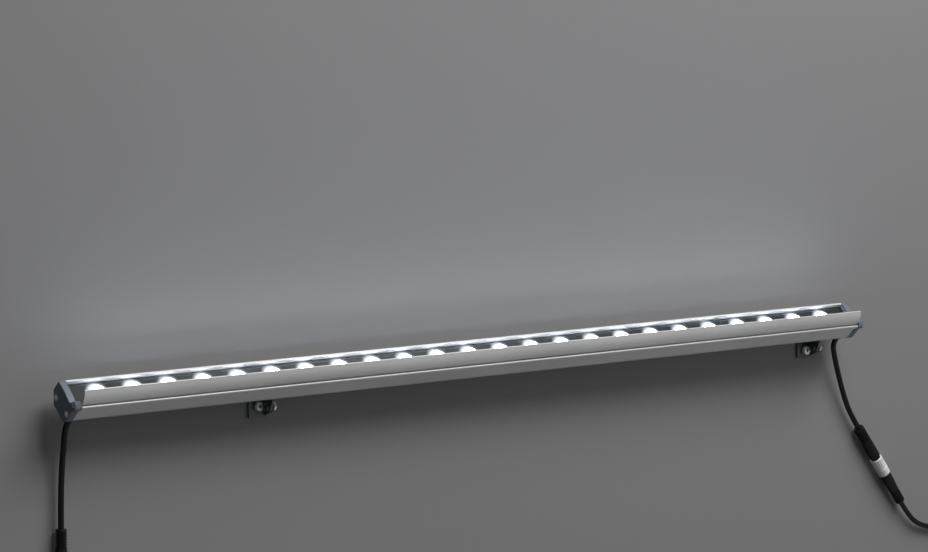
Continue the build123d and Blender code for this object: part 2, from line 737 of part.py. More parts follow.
def build_socket(base, direction, names):
    """Free socket: moulded body, contact insert, sealing ring and coupling nut."""
    body_name, insert_name, seal_name, nut_name = names
    with BuildPart() as body:
        revolve_profile(base, direction, [
            (0, 0), (socket_thin_radius - 0.6, 0), (socket_thin_radius, 1.2),
            (socket_thin_radius, 18), (plug_thick_radius, 30),
            (plug_thick_radius, socket_body_length - 0.5),
            (plug_thick_radius - 0.5, socket_body_length), (neck_radius, socket_body_length),
            (neck_radius, socket_flange), (collar_radius, socket_flange),
            (collar_radius, socket_face), (0, socket_face),
        ])
        cut_grooves(base, direction, socket_thin_radius)
    finish(body, body_name)

    with BuildPart() as insert:
        with BuildSketch(Plane(origin=base + direction * socket_face,
                               x_dir=toward_viewer, z_dir=direction)):
            Circle(insert_radius)
        extrude(amount=insert_length)
        chamfer(insert.faces().sort_by(Axis(base, direction))[-1].edges(), 0.3)
        with BuildSketch(Plane(origin=base + direction * (insert_tip - 7),
                               x_dir=toward_viewer, z_dir=direction)):
            with PolarLocations(pin_circle, pin_count):
                Circle(pin_radius + 0.15)
        extrude(amount=7, mode=Mode.SUBTRACT)
    finish(insert, insert_name)

    with BuildPart() as seal:
        with BuildSketch(profile_plane(base, direction, toward_viewer)):
            with Locations((insert_radius + seat_gap + 0.45, socket_face + 1.7)):
                Rectangle(0.9, 3.0)
        revolve(axis=Axis(base, direction))
    finish(seal, seal_name)

    nut_start = socket_body_length + 0.3
    nut_end = nut_start + nut_length
    lip_end = socket_flange - running_gap
    with BuildPart() as nut:
        revolve_profile(base, direction, [
            (neck_radius + running_gap, nut_start), (nut_radius - 0.6, nut_start),
            (nut_radius, nut_start + 0.6), (nut_radius, nut_start + 8.4),
            (nut_radius - 0.5, nut_start + 8.8), (nut_radius - 0.5, nut_start + 9.8),
            (nut_radius, nut_start + 10.2), (nut_radius, nut_end - 0.6),
            (nut_radius - 0.6, nut_end), (collar_radius + running_gap, nut_end),
            (collar_radius + running_gap, lip_end), (neck_radius + running_gap, lip_end),
        ])
        with BuildSketch(Plane(origin=base + direction * (nut_start + 11.4),
                               x_dir=toward_viewer, z_dir=direction)):
            with PolarLocations(nut_radius + 0.45, nut_flutes):
                Circle(0.8)
        extrude(amount=nut_end - nut_start - 12.6, mode=Mode.SUBTRACT)
    finish(nut, nut_name)


build_socket(socket_base, plug_axis * -1,
             ("supply_plug", "insert_right", "seal_right", "coupling_nut_right"))
build_socket(Vector(*lead_left_route[-1]), down,
             ("plug_left", "insert_left", "seal_left", "coupling_nut_left"))

# ------------------------------------------------- supply coil, tie and cores
coil_x, coil_y, coil_top = supply_route[-1]
coil_plane = Plane(origin=(coil_x, coil_y, coil_top), x_dir=(1, 0, 0), z_dir=(0, -1, 0))
half_turn_radii = [coil_radius - k * coil_pitch / 2 for k in range(coil_half_turns)]

with BuildPart() as supply_coil:
    with BuildLine(coil_plane) as turns:
        height = 0.0
        for k, radius in enumerate(half_turn_radii):
            at_top = k % 2 == 0
            centre = height - radius if at_top else height + radius
            CenterArc((0, centre), radius, 90 if at_top else 270, -180)
            height = centre - radius if at_top else centre + radius
        Line((0, height), (supply_diameter, height))
    with BuildSketch(Plane(origin=(coil_x, coil_y, coil_top), x_dir=(0, 1, 0), z_dir=(1, 0, 0))):
        Circle(supply_diameter / 2)
    sweep(path=turns.wires()[0])
finish(supply_coil, "supply_coil")


def least_self_gap(wire, diameter, step=3.0):
    """Smallest free distance between stretches of a coil that aren't neighbours."""
    count = ceil(wire.length / step)
    points = [wire.position_at(i / count) for i in range(count + 1)]
    skip = ceil(4 * diameter / step)
    least = min((points[i] - points[j]).length
                for i in range(count + 1) for j in range(i + skip, count + 1))
    return least - diameter


coil_wire = turns.wires()[0]
print(f"supply_coil: length {coil_wire.length:.1f}, half-turn radii {half_turn_radii}, "
      f"least self-gap {least_self_gap(coil_wire, supply_diameter):.2f}")

strand_low = coil_top - 2 * coil_radius
strands = coil_half_turns // 2
bundle = (strands - 1) * coil_pitch + supply_diameter + 0.6
bundle_depth = supply_diameter + 0.6
bundle_mid_z = strand_low + (strands - 1) * coil_pitch / 2
with BuildPart() as coil_tie:
    with BuildSketch(Plane(origin=(coil_x - tie_width / 2, coil_y, bundle_mid_z),
                           x_dir=(0, 1, 0), z_dir=(1, 0, 0))):
        RectangleRounded(bundle_depth + 2 * tie_thickness, bundle + 2 * tie_thickness, 2.2)
        RectangleRounded(bundle_depth, bundle, 1.6, mode=Mode.SUBTRACT)
        with Locations((-bundle_depth / 2 - 1.6, 3.0)):
            Rectangle(2.8, 4.6)
    extrude(amount=tie_width)
finish(coil_tie, "coil_tie")

cores_start = Vector(coil_x + supply_diameter, coil_y, coil_top + height)
with BuildPart() as supply_cores:
    for k in (-1, 0, 1):
        core_base = cores_start + Vector(0, 0, 1.4 * k)
        core_path = [core_base, core_base + Vector(2.5, 0, 0),
                     core_base + Vector(6.5, 0, 0.3 * k - 5)]
        with BuildLine() as core_line:
            FilletPolyline(*core_path, radius=1.5)
        with BuildSketch(Plane(origin=core_base, z_dir=core_path[1] - core_base)):
            Circle(core_radius)
        sweep(path=core_line.wires()[0])
finish(supply_cores, "supply_cores")

# ---------------------------------------------------------- feet on the wall
# along the bar from each wall screw: bolt head, lug, washer, foot ear, nut
ear_outer = foot_right_reach
ear_inner = ear_outer - foot_thickness
washer_right = ear_inner - face_gap
lug_outer = washer_right - friction_washer - face_gap
lug_inner = lug_outer - lug_thickness
head_face = lug_inner - face_gap
nut_face = ear_outer + face_gap


def build_foot(side):
    x = foot_x[side]
    plate_x = x + (foot_right_reach - foot_left_reach) / 2
    with BuildPart() as foot:
        with BuildSketch(wall_plane(plate_x)):
            RectangleRounded(foot_left_reach + foot_right_reach, foot_height, foot_corner)
        extrude(amount=foot_thickness)
        with BuildSketch(wall_plane(x)):
            SlotOverall(foot_slot_length, foot_slot_width, rotation=90)
        extrude(amount=foot_thickness, mode=Mode.SUBTRACT)
        with BuildSketch(side_plane(x + ear_outer)):
            with Locations((-pivot_y, pivot_z)):
                Circle(ear_radius)
            with Locations((foot_thickness / 2, 0)):
                Rectangle(foot_thickness, foot_height - 2 * foot_corner)
            make_hull()
        extrude(amount=foot_thickness)
        with BuildSketch(side_plane(x + ear_outer + 1)):
            with Locations((-pivot_y, pivot_z)):
                Circle(pivot_bolt_radius + running_gap)
        extrude(amount=foot_thickness + 2, mode=Mode.SUBTRACT)
    finish(foot, f"foot_{side}")


for side in foot_x:
    build_foot(side)

washer_face = foot_thickness + washer_thickness
with BuildPart() as wall_screws:
    for side in foot_x:
        head_plane = wall_plane(foot_x[side], -washer_face, foot_z[side])
        with BuildSketch(head_plane):
            Circle(wall_screw_head_radius)
        extrude(amount=wall_screw_head_height)
        with BuildSketch(head_plane):
            Circle(wall_screw_radius)
        extrude(amount=-washer_face)
        with BuildSketch(wall_plane(foot_x[side], 0, foot_z[side])):
            Circle(wall_thread_radius)
        extrude(amount=-wall_screw_in_wall)
        with BuildSketch(head_plane.offset(wall_screw_head_height - 2)):
            RegularPolygon(wall_screw_hex / 2, 6, major_radius=False)
        extrude(amount=2, mode=Mode.SUBTRACT)
finish(wall_screws, "wall_screws")

with BuildPart() as wall_washers:
    for side in foot_x:
        with BuildSketch(wall_plane(foot_x[side], -foot_thickness, foot_z[side])):
            Circle(washer_radius)
            Circle(wall_screw_radius + 0.15, mode=Mode.SUBTRACT)
        extrude(amount=washer_thickness)
finish(wall_washers, "wall_washers")

with BuildPart() as tilt_bolts:
    for side in foot_x:
        head_plane = side_plane(foot_x[side] + head_face, pivot_y, pivot_z)
        with BuildSketch(head_plane):
            Circle(pivot_head_radius)
        extrude(amount=pivot_head_height)
        with BuildSketch(head_plane):
            Circle(pivot_bolt_radius)
        extrude(amount=-(nut_face + pivot_nut_height + pivot_bolt_tip - head_face))
        with BuildSketch(head_plane.offset(pivot_head_height - 1.2)):
            RegularPolygon(1.25, 6, major_radius=False)
        extrude(amount=1.2, mode=Mode.SUBTRACT)
finish(tilt_bolts, "tilt_bolts")

with BuildPart() as tilt_nuts:
    for side in foot_x:
        with BuildSketch(side_plane(foot_x[side] + nut_face, pivot_y, pivot_z)):
            RegularPolygon(pivot_nut_flats / 2, 6, major_radius=False)
            Circle(pivot_bolt_radius + seat_gap, mode=Mode.SUBTRACT)
        extrude(amount=-pivot_nut_height)
finish(tilt_nuts, "tilt_nuts")

with BuildPart() as tilt_washers:
    for side in foot_x:
        with BuildSketch(side_plane(foot_x[side] + washer_right, pivot_y, pivot_z)):
            Circle(ear_radius - 1.0)
            Circle(pivot_bolt_radius + seat_gap, mode=Mode.SUBTRACT)
        extrude(amount=friction_washer)
finish(tilt_washers, "tilt_washers")

# ------------------------------------------------------- lugs on the T-slot
pivot_from_rim = Vector(0, pivot_y - rim_y, pivot_z - rim_z)
pivot_u = pivot_from_rim.dot(across)
pivot_v = pivot_from_rim.dot(inward)
flange_top = section_depth + face_gap
flange_bottom = flange_top + lug_flange_thickness


def build_lug(side):
    x = foot_x[side]
    with BuildPart() as lug:
        with BuildSketch(section_plane(x + lug_inner)):
            with Locations((pivot_u, pivot_v)):
                Circle(ear_radius)
            with Locations((slot_u, (flange_top + flange_bottom) / 2)):
                Rectangle(lug_flange_width, lug_flange_thickness)
            make_hull()
        extrude(amount=lug_thickness)
        with BuildSketch(section_plane(x - lug_flange_left)):
            with Locations((slot_u, (flange_top + flange_bottom) / 2)):
                Rectangle(lug_flange_width, lug_flange_thickness)
        extrude(amount=lug_flange_left + lug_outer)
        with BuildSketch(section_plane(x + lug_inner - 1)):
            with Locations((pivot_u, pivot_v)):
                Circle(pivot_bolt_radius + running_gap)
        extrude(amount=lug_thickness + 2, mode=Mode.SUBTRACT)
        with BuildSketch(light_plane(x + slot_screw_shift, slot_u, flange_bottom + 1)):
            Circle(slot_screw_radius + 0.2)
        extrude(amount=lug_flange_thickness + 2, mode=Mode.SUBTRACT)
    finish(lug, f"lug_{side}")


for side in foot_x:
    build_lug(side)

slot_nut_bottom = floor_top - face_gap
with BuildPart() as slot_nuts:
    for side in foot_x:
        with BuildSketch(light_plane(foot_x[side] + slot_screw_shift, slot_u, slot_nut_bottom)):
            Rectangle(slot_nut_side, slot_nut_side)
            Circle(slot_screw_radius + seat_gap, mode=Mode.SUBTRACT)
        extrude(amount=slot_nut_height)
finish(slot_nuts, "slot_nuts")

with BuildPart() as slot_screws:
    for side in foot_x:
        under_flange = light_plane(foot_x[side] + slot_screw_shift, slot_u, flange_bottom)
        with BuildSketch(under_flange):
            Circle(slot_screw_head_radius)
        extrude(amount=-slot_screw_head_height)
        with BuildSketch(under_flange):
            Circle(slot_screw_radius)
        extrude(amount=flange_bottom - slot_nut_bottom + slot_nut_height)
        with BuildSketch(under_flange.offset(-slot_screw_head_height)):
            RegularPolygon(1.6, 6)
        extrude(amount=1.4, mode=Mode.SUBTRACT)
finish(slot_screws, "slot_screws")

print(f"pivot in the section: {pivot_u:.2f}, {pivot_v:.2f}; nodes {len(os.listdir('parts'))}")
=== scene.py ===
# %% [markdown]
# # A wall washer light, dressed in Blender
#
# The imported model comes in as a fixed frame: every metal and plastic part already has its
# true shape and place. This script gives each part its finish, grows what repeats along
# the bar with Geometry Nodes, and lays the leads as smooth curves.
#
# Everything is in metres. X runs along the bar, Y goes into the wall, Z is up. The origin
# is on the wall plane, midway between the two wall screws.
#
# The frame must come first, so that every later piece can be placed by it and not by eye.

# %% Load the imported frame
from math import cos, pi, radians, sin, sqrt

import bmesh
import bpy
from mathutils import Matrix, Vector


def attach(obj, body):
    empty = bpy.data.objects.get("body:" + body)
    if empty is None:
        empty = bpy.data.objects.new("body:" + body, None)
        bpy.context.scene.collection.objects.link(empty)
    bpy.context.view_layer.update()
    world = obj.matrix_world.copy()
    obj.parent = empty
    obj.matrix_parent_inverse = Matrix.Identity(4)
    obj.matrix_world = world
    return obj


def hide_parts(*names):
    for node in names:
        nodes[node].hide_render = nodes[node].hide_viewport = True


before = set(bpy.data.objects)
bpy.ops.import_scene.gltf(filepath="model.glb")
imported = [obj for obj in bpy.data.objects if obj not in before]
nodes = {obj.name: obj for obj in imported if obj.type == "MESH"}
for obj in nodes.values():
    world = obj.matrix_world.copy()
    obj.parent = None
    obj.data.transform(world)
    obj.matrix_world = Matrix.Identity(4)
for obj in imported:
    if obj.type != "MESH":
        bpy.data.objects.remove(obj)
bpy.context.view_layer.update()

MM = 0.001

# %% [markdown]
# ## Sizes that both tools share
#
# The real bar is an extrusion, tipped 45 degrees so that its light opening looks up and out.
# Its pieces could be placed by world coordinates, but then every number would mix two
# directions. So the section keeps two axes of its own, as its drawing has: `ACROSS` runs over
# the opening from its rear rim to its front, and `INWARD` goes from the opening to the back.
# 24 LEDs sit on a pitch that is taken as 40 mm, usual for such bars, and the first one is
# worked out from the middle of the row.

# %% Section axes and the LED row
TILT = radians(45)
RIM = Vector((0, -22.0, 47.0))
ACROSS = Vector((0, -cos(TILT), -sin(TILT)))
INWARD = Vector((0, sin(TILT), -cos(TILT)))
LED_COUNT, LED_PITCH = 24, 40.0
LED_ROW_X, LED_U, BOARD_TOP = -102.0, 15.85, 9.4
CUP_DEPTH = 7.6          # lens face above the board
RESIN_HEIGHT = 6.2       # resin above the board
LENS_RADIUS, CUP_RADIUS = 9.0, 9.55
LENS_BULGE = 0.9         # how far the domed face stands up in its middle
CHIP_SIDE, CHIP_HEIGHT = 3.45, 0.9
LEAK_REACH, LEAK_STRENGTH = 5.5, 1.6       # glow round each cup, and how bright it is


def place(x, u, v):
    """Point of the section at a distance along the bar, in metres."""
    return (Vector((x, 0, 0)) + RIM + ACROSS * u + INWARD * v) * MM


first_led = place(LED_ROW_X - (LED_COUNT - 1) / 2 * LED_PITCH, LED_U, BOARD_TOP)
print("first LED at", [round(c, 4) for c in first_led])

# %% [markdown]
# ## The camera
#
# The photograph was taken from the left, 40 degrees off the wall's normal and 6 degrees
# down, with nearly parallel edges. A short lens would make the far end shrink too much, so
# a long lens stands far back. Its place was worked out from the straight edges, the even
# spacing of the lenses, the two upright feet and the screws.

# %% Photo camera
scene = bpy.context.scene
camera = bpy.data.objects.new("photo_camera", bpy.data.cameras.new("photo_camera"))
scene.collection.objects.link(camera)
LOOKS_DOWN, FROM_THE_LEFT = 5.9645, 40     # degrees
camera.location = (-2.7514, -3.1539, 0.5377)
camera.rotation_euler = (radians(90 - LOOKS_DOWN), 0, radians(-FROM_THE_LEFT))
camera.data.sensor_width = 36
camera.data.lens = 164.37
camera.data.clip_end = 50
scene.camera = camera
print("camera lens", round(camera.data.lens, 1), "mm")

# %% [markdown]
# ## Small helpers
#
# Colours are easiest to judge as sRGB codes, but shaders reckon in linear light, so `srgb`
# turns one into the other. Node trees could be drawn by hand in the editor; in a script one
# helper is enough. `add` puts one node in a tree, with its settings, and takes either values
# or sockets for its inputs. `shader` starts a material and sets its plain constants.

# %% Colour and node helpers
def srgb(code):
    channels = [int(code[i:i + 2], 16) / 255 for i in (0, 2, 4)]
    linear = [c / 12.92 if c <= 0.04045 else ((c + 0.055) / 1.055) ** 2.4 for c in channels]
    return (*linear, 1.0)


def add(tree, kind, inputs=None, **settings):
    new = tree.nodes.new(kind)
    for name, value in settings.items():
        setattr(new, name, value)
    for socket, value in (inputs or {}).items():
        if isinstance(value, bpy.types.NodeSocket):
            tree.links.new(value, new.inputs[socket])
        else:
            new.inputs[socket].default_value = value
    return new


def shader(name, **sockets):
    """New material with constants on its Principled BSDF."""
    material = bpy.data.materials.new(name)
    material.use_nodes = True
    tree = material.node_tree
    bsdf = tree.nodes["Principled BSDF"]
    for socket, value in sockets.items():
        bsdf.inputs[socket.replace("_", " ")].default_value = value
    return material, tree, bsdf


print("white is", srgb("FFFFFF"))

# %% [markdown]
# ## Patterns in real millimetres
#
# A real surface is never one flat colour: it has grain, clouds and scratches of a known
# size. Pictures could give them, but noise in object coordinates needs no unwrapping and
# keeps its size on every piece. `grain` takes that size in millimetres, `spread` and `tones`
# turn it into roughness and colour, and `relief` turns it into fine height.

# %% Pattern helpers
def grain(tree, size_mm, detail=3.0, stretch=(1, 1, 1), shift=(0, 0, 0), rough=0.55):
    """Noise whose features are size_mm across, drawn out by stretch along each axis."""
    where = add(tree, "ShaderNodeTexCoord")
    scaled = add(tree, "ShaderNodeMapping", {
        "Vector": where.outputs["Object"], "Location": shift,
        "Scale": [1000 / (size_mm * s) for s in stretch]})
    return add(tree, "ShaderNodeTexNoise", {
        "Vector": scaled.outputs["Vector"], "Scale": 1.0, "Detail": detail,
        "Roughness": rough}).outputs["Fac"]


def spread(tree, factor, low, high, start=0.35, end=0.65):
    """Maps a noise value onto a range of numbers."""
    return add(tree, "ShaderNodeMapRange", {
        "Value": factor, "From Min": start, "From Max": end,
        "To Min": low, "To Max": high}).outputs["Result"]


def tones(tree, factor, *stops):
    """Colour ramp from (position, colour code) stops."""
    ramp = add(tree, "ShaderNodeValToRGB", {"Fac": factor})
    elements = ramp.color_ramp.elements
    for element, (position, code) in zip(elements, (stops[0], stops[-1])):
        element.position, element.color = position, srgb(code)
    for position, code in stops[1:-1]:
        elements.new(position).color = srgb(code)
    return ramp.outputs["Color"]


def relief(tree, bsdf, height, depth_mm, strength=1.0, after=None):
    """Bump of a given depth, on top of an earlier one if there is one."""
    inputs = {"Height": height, "Distance": depth_mm * MM, "Strength": strength}
    if after is not None:
        inputs["Normal"] = after
    bump = add(tree, "ShaderNodeBump", inputs)
    tree.links.new(bump.outputs["Normal"], bsdf.inputs["Normal"])
    return bump.outputs["Normal"]


METAL, PLASTIC = {}, {}
print("a 1 mm grain has", 1000, "features to the metre")

# %% [markdown]
# ## Satin anodised aluminium
#
# Housing and visor are extruded, etched and anodised. The die leaves fine lines along the
# bar, and the etch leaves a slow cloudiness. Full metal with an anisotropic gloss could show
# that too, but the oxide scatters so much light that the real bar reads as a pale grey skin,
# half way between paint and metal. So the metallic value is low and the roughness middling.

# %% Satin anodised aluminium
def anodised_extrusion():
    # To the eye: a soft grey whose long highlights fade slowly from edge to edge. The die
    # lines are drawn 0.5 mm apart, coarser than real ones. Even so they show only in close
    # views; from the photograph's distance they just soften the gloss.
    material, tree, bsdf = shader("satin_anodised_aluminium", Metallic=0.35)
    lines = grain(tree, 0.5, 2.0, (400, 1, 1))
    cloud = grain(tree, 45, 2.0, (3, 1, 1))
    tree.links.new(tones(tree, cloud, (0.3, "B2B2B2"), (0.7, "BEBEBE")), bsdf.inputs["Base Color"])
    tree.links.new(spread(tree, lines, 0.40, 0.50), bsdf.inputs["Roughness"])
    relief(tree, bsdf, lines, 0.006, 0.6)
    return material


METAL["extrusion"] = anodised_extrusion()
print("made", METAL["extrusion"].name)

# %% [markdown]
# ## Blasted cast aluminium
#
# The end caps are die cast and bead blasted before they are coated, so their grain has no
# direction. They could share the extrusion's finish, but here they are set darker and bluer
# than it, and that difference shows where the bar ends.

# %% Blasted cast aluminium
def cast_cap():
    # To the eye: a matt blue-grey with no streaks. The bead marks are drawn 0.35 mm wide,
    # a little coarser than real ones, and show in close views.
    material, tree, bsdf = shader("blasted_cast_aluminium", Metallic=0.25)
    blast = grain(tree, 0.35, 3.0)
    cloud = grain(tree, 9, 2.0)
    tree.links.new(tones(tree, cloud, (0.3, "525A63"), (0.7, "626A73")), bsdf.inputs["Base Color"])
    tree.links.new(spread(tree, cloud, 0.52, 0.64), bsdf.inputs["Roughness"])
    relief(tree, bsdf, blast, 0.02, 0.5)
    return material


METAL["cast"] = cast_cap()
print("made", METAL["cast"].name)

# %% [markdown]
# ## Turned stainless steel
#
# The wall screws show as a bright ring round a dark socket. A black disc could be set in
# each socket, but the shape is already there in the CAD. Ambient occlusion finds the places
# that walls stand close round, and the shade in a socket is painted into its colour there.

# %% Turned stainless steel
def turned_steel():
    # To the eye: bright heads with fine rings, and sockets and threads that fall to black as
    # painted shade.
    material, tree, bsdf = shader("turned_stainless_steel", Metallic=0.5)
    scratches = grain(tree, 0.25, 2.0, (1, 6, 6))
    bright = tones(tree, scratches, (0.3, "C4C6C6"), (0.7, "DDDEDD"))
    # Painted shade: the base colour falls to near black where ambient occlusion finds a recess.
    socket_shade = add(tree, "ShaderNodeAmbientOcclusion", {"Distance": 2.5 * MM}, samples=8)
    painted_recess_shade = tones(tree, socket_shade.outputs["AO"], (0.35, "0A0A0B"), (0.75, "FFFFFF"))
    shaded_base = add(tree, "ShaderNodeMix", {"Factor": 1.0, "A": bright, "B": painted_recess_shade},
                data_type="RGBA", blend_type="MULTIPLY")
    tree.links.new(shaded_base.outputs["Result"], bsdf.inputs["Base Color"])
    tree.links.new(spread(tree, scratches, 0.42, 0.55), bsdf.inputs["Roughness"])
    relief(tree, bsdf, scratches, 0.004, 0.5)
    return material


METAL["steel"] = turned_steel()
print("made", METAL["steel"].name)

# %% [markdown]
# ## Dark coated steel
#
# Feet and lugs are bent from steel sheet and baked in a dark powder coat. The powder melts
# into a skin like orange peel. That peel could be modelled as real waves, but it is only
# hundredths of a millimetre deep, so a bump is the right tool.

# %% Dark coated steel
def coated_steel():
    # To the eye: nearly black with a soft broken sheen, and a little dust that lightens it.
    # The peel's waves are about 1 mm long, and show in close views.
    material, tree, bsdf = shader("dark_coated_steel", Metallic=0.25, Coat_Weight=0.15)
    peel = grain(tree, 1.1, 2.0)
    dust = grain(tree, 6, 4.0)
    tree.links.new(tones(tree, dust, (0.3, "2F3436"), (0.75, "3A3F41")), bsdf.inputs["Base Color"])
    tree.links.new(spread(tree, dust, 0.42, 0.58), bsdf.inputs["Roughness"])
    relief(tree, bsdf, peel, 0.03, 0.35)
    return material


METAL["coated"] = coated_steel()
print("made", METAL["coated"].name)

# %% [markdown]
# ## Gold plated brass
#
# The pins inside the plug are turned brass with a thin gold plate. Here the closed plug
# hides them, but someone may open it in another scene. One flat gold would do for that, yet
# real pins rub each time they mate, and noise in the roughness shows it at no cost.

# %% Gold plated brass
def plated_brass():
    # To the eye: a warm, clear gloss, a little duller where the pins have rubbed.
    material, tree, bsdf = shader("gold_plated_brass", Metallic=1.0)
    wear = grain(tree, 0.6, 2.0)
    tree.links.new(tones(tree, wear, (0.3, "C9A45C"), (0.7, "DCBB78")), bsdf.inputs["Base Color"])
    tree.links.new(spread(tree, wear, 0.18, 0.32), bsdf.inputs["Roughness"])
    return material


METAL["brass"] = plated_brass()
print("metals:", [m.name for m in METAL.values()])

# %% [markdown]
# ## Moulded plastics and rubber
#
# Plugs, nuts, gaskets and holders are all moulded, and each keeps the fine spark texture of
# its steel mould. Each could have a tree of its own, but they differ only in colour, gloss
# and a few constants. So one recipe makes them all, and its name says what each one is.

# %% Moulded plastics and rubber
def moulded(name, dark, light, roughness, texture_mm=0.25, depth_mm=0.01, **more):
    material, tree, bsdf = shader(name, **more)
    spark = grain(tree, texture_mm, 3.0)
    cloud = grain(tree, 5, 3.0)
    tree.links.new(tones(tree, cloud, (0.3, dark), (0.7, light)), bsdf.inputs["Base Color"])
    tree.links.new(spread(tree, cloud, roughness - 0.05, roughness + 0.06),
                   bsdf.inputs["Roughness"])
    relief(tree, bsdf, spark, depth_mm, 0.5)
    return material


# To the eye: overmould and nylon are matt blacks, silicone is softer still, and the white
# nylon of the coupling nuts lets a little light in, so its edges glow.
PLASTIC["plug"] = moulded("black_overmould_pvc", "040405", "0A0A0B", 0.55,
                          Specular_IOR_Level=0.15)
PLASTIC["seal"] = moulded("black_silicone", "121212", "1A1A1A", 0.55)
PLASTIC["gasket"] = moulded("grey_silicone", "6E7274", "7B7F81", 0.6)
PLASTIC["black"] = moulded("black_nylon", "141516", "1D1E1F", 0.42)
PLASTIC["white"] = moulded("white_nylon", "CFD1D1", "DEDFDE", 0.38, Subsurface_Weight=0.08,
                           Subsurface_Scale=0.002)
PLASTIC["board"] = moulded("white_solder_mask", "D9DCD8", "E6E8E4", 0.3, Coat_Weight=0.3)
PLASTIC["red"] = moulded("red_core_insulation", "8E1F1A", "A32A22", 0.4)
PLASTIC["tinned"] = moulded("tinned_strands", "A9ABA9", "C4C5C3", 0.35, Metallic=0.9)
print("moulded:", [m.name for m in PLASTIC.values()])

# %% [markdown]
# ## Black cable jacket
#
# The leads have an extruded PVC jacket, taken to be filled with carbon black as outdoor
# cable is. It could be plain black, but a real jacket shows a faint handling haze. A low
# specular level keeps it as near to black as it is in the photograph.

# %% Black cable jacket
def cable_jacket():
    # To the eye: almost no colour and a thin dull sheen along the round of the cable.
    material, tree, bsdf = shader("black_pvc_jacket", Specular_IOR_Level=0.15)
    fine = grain(tree, 0.5, 3.0)
    slow = grain(tree, 12, 2.0)
    tree.links.new(tones(tree, slow, (0.3, "030303"), (0.7, "070708")), bsdf.inputs["Base Color"])
    tree.links.new(spread(tree, slow, 0.44, 0.54), bsdf.inputs["Roughness"])
    relief(tree, bsdf, fine, 0.02, 0.4)
    return material


PLASTIC["jacket"] = cable_jacket()
print("made", PLASTIC["jacket"].name)

# %% [markdown]
# ## Light that leaks into the resin
#
# Round every lit cup the real resin glows for a few millimetres, because it is slightly
# clear, and the camera's own bloom widens that. Volume scattering would show it, but it is
# slow, and a volume can't be baked onto a plain surface. The
# glow depends only on how far a point is from the nearest LED, and the LEDs stand on a
# known pitch, so a few Math nodes find that distance on the resin's own coordinates.

# %% Light that leaks into the resin
def light_leak(tree):
    """Falls from 1 at the rim of a cup to 0 a few millimetres into the resin."""
    where = add(tree, "ShaderNodeTexCoord").outputs["Object"]
    from_led = add(tree, "ShaderNodeVectorMath", {0: where, 1: first_led}, operation="SUBTRACT")
    parts = add(tree, "ShaderNodeSeparateXYZ", {"Vector": from_led.outputs["Vector"]})
    number = add(tree, "ShaderNodeMath", {0: parts.outputs["X"], 1: LED_PITCH * MM},
                 operation="DIVIDE")
    nearest = add(tree, "ShaderNodeMath", {0: number.outputs["Value"]}, operation="ROUND")
    first = add(tree, "ShaderNodeMath", {0: nearest.outputs["Value"], 1: 0.0},
                operation="MAXIMUM")
    last = add(tree, "ShaderNodeMath", {0: first.outputs["Value"], 1: LED_COUNT - 1.0},
               operation="MINIMUM")
    beside = add(tree, "ShaderNodeMath", {0: last.outputs["Value"], 1: -LED_PITCH * MM,
                                          2: parts.outputs["X"]}, operation="MULTIPLY_ADD")
    over = add(tree, "ShaderNodeVectorMath", {0: from_led.outputs["Vector"], 1: ACROSS},
               operation="DOT_PRODUCT")
    flat = add(tree, "ShaderNodeCombineXYZ", {"X": beside.outputs["Value"],
                                              "Y": over.outputs["Value"]})
    away = add(tree, "ShaderNodeVectorMath", {0: flat.outputs["Vector"]}, operation="LENGTH")
    near = add(tree, "ShaderNodeMapRange", {
        "Value": away.outputs["Value"], "From Min": CUP_RADIUS * MM,
        "From Max": (CUP_RADIUS + LEAK_REACH) * MM, "To Min": 1.0, "To Max": 0.0})
    return add(tree, "ShaderNodeMath", {0: near.outputs["Result"], 1: 2.2},
               operation="POWER").outputs["Value"]


print("glow reaches", LEAK_REACH, "mm from each cup")

# %% [markdown]
# ## Dark poured resin
#
# The boards are sealed under a dark resin that was poured in and levelled itself. So it is
# glossy, with very slow waves. A glass shader could let the boards show through it, but so
# dark a resin hides them, so a dark surface under a clear coat is enough.

# %% Dark poured resin
def poured_resin():
    # To the eye: a dark teal pool between the lenses that mirrors the bright rim above it.
    material, tree, bsdf = shader("dark_poured_resin", Coat_Weight=0.6, Coat_Roughness=0.06)
    bsdf.inputs["Emission Color"].default_value = srgb("E9F1FF")
    waves = grain(tree, 14, 2.0)
    specks = grain(tree, 0.8, 2.0)
    glow = add(tree, "ShaderNodeMath", {0: light_leak(tree), 1: LEAK_STRENGTH},
               operation="MULTIPLY")
    tree.links.new(glow.outputs["Value"], bsdf.inputs["Emission Strength"])
    tree.links.new(tones(tree, waves, (0.3, "0C1414"), (0.7, "141E1E")), bsdf.inputs["Base Color"])
    tree.links.new(spread(tree, specks, 0.16, 0.26), bsdf.inputs["Roughness"])
    relief(tree, bsdf, waves, 0.25, 0.5)
    return material


PLASTIC["resin"] = poured_resin()
print("made", PLASTIC["resin"].name)

# %% [markdown]
# ## The lit lens and its chip
#
# Each optic is clear acrylic over a lit LED. Tracing the light through the glass would be
# true to life, but it is noisy, and the camera sees only an even white disc. So the lens
# itself gives the light, with beads that vary its colour, and it lights rim and wall.

# %% The lit lens and its chip
def lit_lens():
    # To the eye: a cool white too bright to see into. The beads are about 0.9 mm wide.
    material, tree, bsdf = shader(
        "lit_optic_acrylic", Roughness=0.12, Coat_Weight=0.5, Coat_Roughness=0.05,
        Emission_Strength=44.0)
    beads = grain(tree, 0.9, 1.0)
    tree.links.new(tones(tree, beads, (0.3, "F2F5FA"), (0.7, "FFFFFF")), bsdf.inputs["Base Color"])
    tree.links.new(tones(tree, beads, (0.3, "DCE8FF"), (0.7, "F0F5FF")),
                   bsdf.inputs["Emission Color"])
    relief(tree, bsdf, beads, 0.05, 0.6)
    return material


